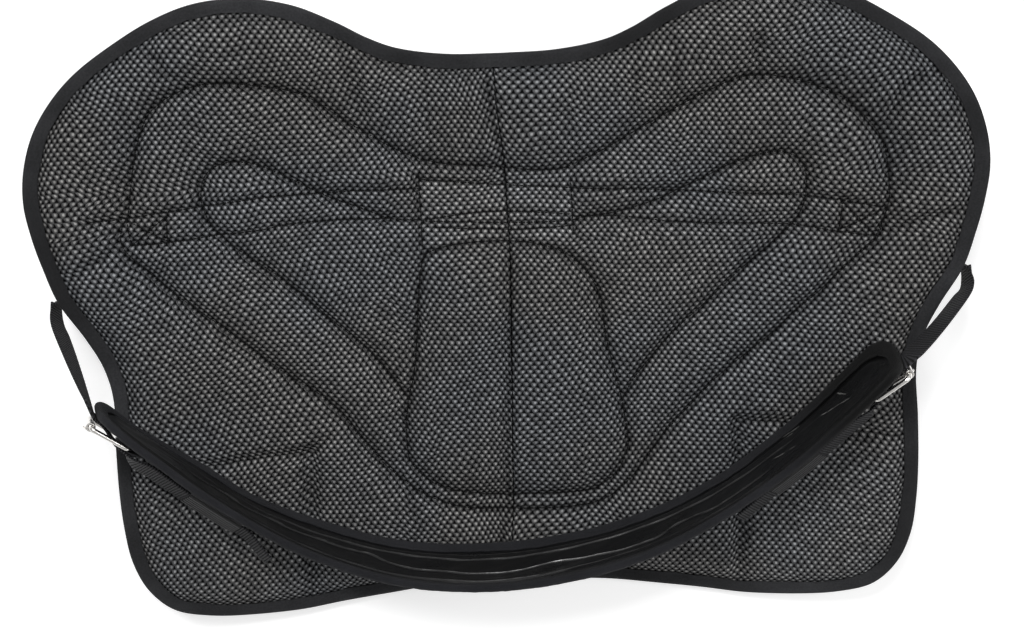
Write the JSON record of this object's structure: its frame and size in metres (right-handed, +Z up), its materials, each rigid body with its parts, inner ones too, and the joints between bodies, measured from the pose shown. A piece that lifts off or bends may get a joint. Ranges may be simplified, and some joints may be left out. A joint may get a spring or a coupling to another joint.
{
  "type": "saddle pad",
  "caption": "Quilted neoprene saddle pad with a non-slip woven underside, bound edge and attached neoprene girth on webbing straps with roller buckles.",
  "frame": {"origin": "point of the spine where the flat seat overlay rests, with the pad lying upside down", "axes": "+Z up, away from the resting face; +Y to the front lobes; X across the pad"},
  "size_m": [0.798, 0.5493, 0.1387],
  "materials": {
    "neoprene": "matt fabric-faced neoprene",
    "grip_weave": "coarse open non-slip weave, charcoal",
    "foam": "closed-cell foam",
    "tape": "matt woven binding tape",
    "suede": "napped seat fabric",
    "webbing": "flat ribbed webbing",
    "smooth_neoprene": "smooth satin neoprene skin",
    "elastic": "ribbed elastic",
    "steel": "polished nickel-plated steel"
  },
  "bodies": {
    "pad": {"top_cover": "neoprene", "underside_left": "grip_weave", "underside_right": "grip_weave", "foam_front_border_left": "foam", "foam_front_border_right": "foam", "foam_side_left": "foam", "foam_side_right": "foam", "foam_rear_corner_left": "foam", "foam_rear_corner_right": "foam", "foam_rear_middle_left": "foam", "foam_rear_middle_right": "foam", "foam_band_left": "foam", "foam_band_right": "foam", "foam_upper_wing_left": "foam", "foam_upper_wing_right": "foam", "foam_wing_left": "foam", "foam_wing_right": "foam", "foam_seat_left": "foam", "foam_seat_right": "foam", "edge_binding": "tape", "seat_panel": "suede", "rigging_strap": "webbing", "rigging_patch": "webbing", "front_tab_left": "webbing", "front_tab_right": "webbing"},
    "girth": {"girth_liner": "smooth_neoprene", "girth_cover": "tape", "girth_binding": "tape", "girth_web": "webbing", "billet_left": "webbing", "billet_right": "webbing", "keeper_left": "elastic", "keeper_right": "elastic"},
    "buckle_left": {"buckle_frame_left": "steel"},
    "roller_left": {"buckle_roller_left": "steel"},
    "tongue_left": {"buckle_tongue_left": "steel"},
    "buckle_right": {"buckle_frame_right": "steel"},
    "roller_right": {"buckle_roller_right": "steel"},
    "tongue_right": {"buckle_tongue_right": "steel"}
  },
  "joints": [
    {"name": "girth_swing", "type": "hinge", "parent": "pad", "child": "girth", "pos_m": [0, 0.034, 0.04], "axis": [-1, 0, 0], "range_deg": [0, 70]},
    {"name": "buckle_left_pivot", "type": "hinge", "parent": "girth", "child": "buckle_left", "pos_m": [-0.32413, -0.07908, 0.09929], "axis": [0.3189, 0.0137, 0.9477], "range_deg": [0, 12]},
    {"name": "roller_left_spin", "type": "hinge", "parent": "buckle_left", "child": "roller_left", "pos_m": [-0.35038, -0.05774, 0.10781], "axis": [-0.3189, -0.0137, -0.9477], "continuous": true},
    {"name": "tongue_left_pivot", "type": "hinge", "parent": "buckle_left", "child": "tongue_left", "pos_m": [-0.32413, -0.07908, 0.09929], "axis": [0.3189, 0.0137, 0.9477], "range_deg": [0, 10]},
    {"name": "buckle_right_pivot", "type": "hinge", "parent": "girth", "child": "buckle_right", "pos_m": [0.2999, -0.06353, 0.08606], "axis": [0.0611, 0.1762, -0.9824], "range_deg": [0, 12]},
    {"name": "roller_right_spin", "type": "hinge", "parent": "buckle_right", "child": "roller_right", "pos_m": [0.32678, -0.04275, 0.09146], "axis": [-0.0611, -0.1762, 0.9824], "continuous": true},
    {"name": "tongue_right_pivot", "type": "hinge", "parent": "buckle_right", "child": "tongue_right", "pos_m": [0.2999, -0.06353, 0.08606], "axis": [0.0611, 0.1762, -0.9824], "range_deg": [0, 10]}
  ]
}
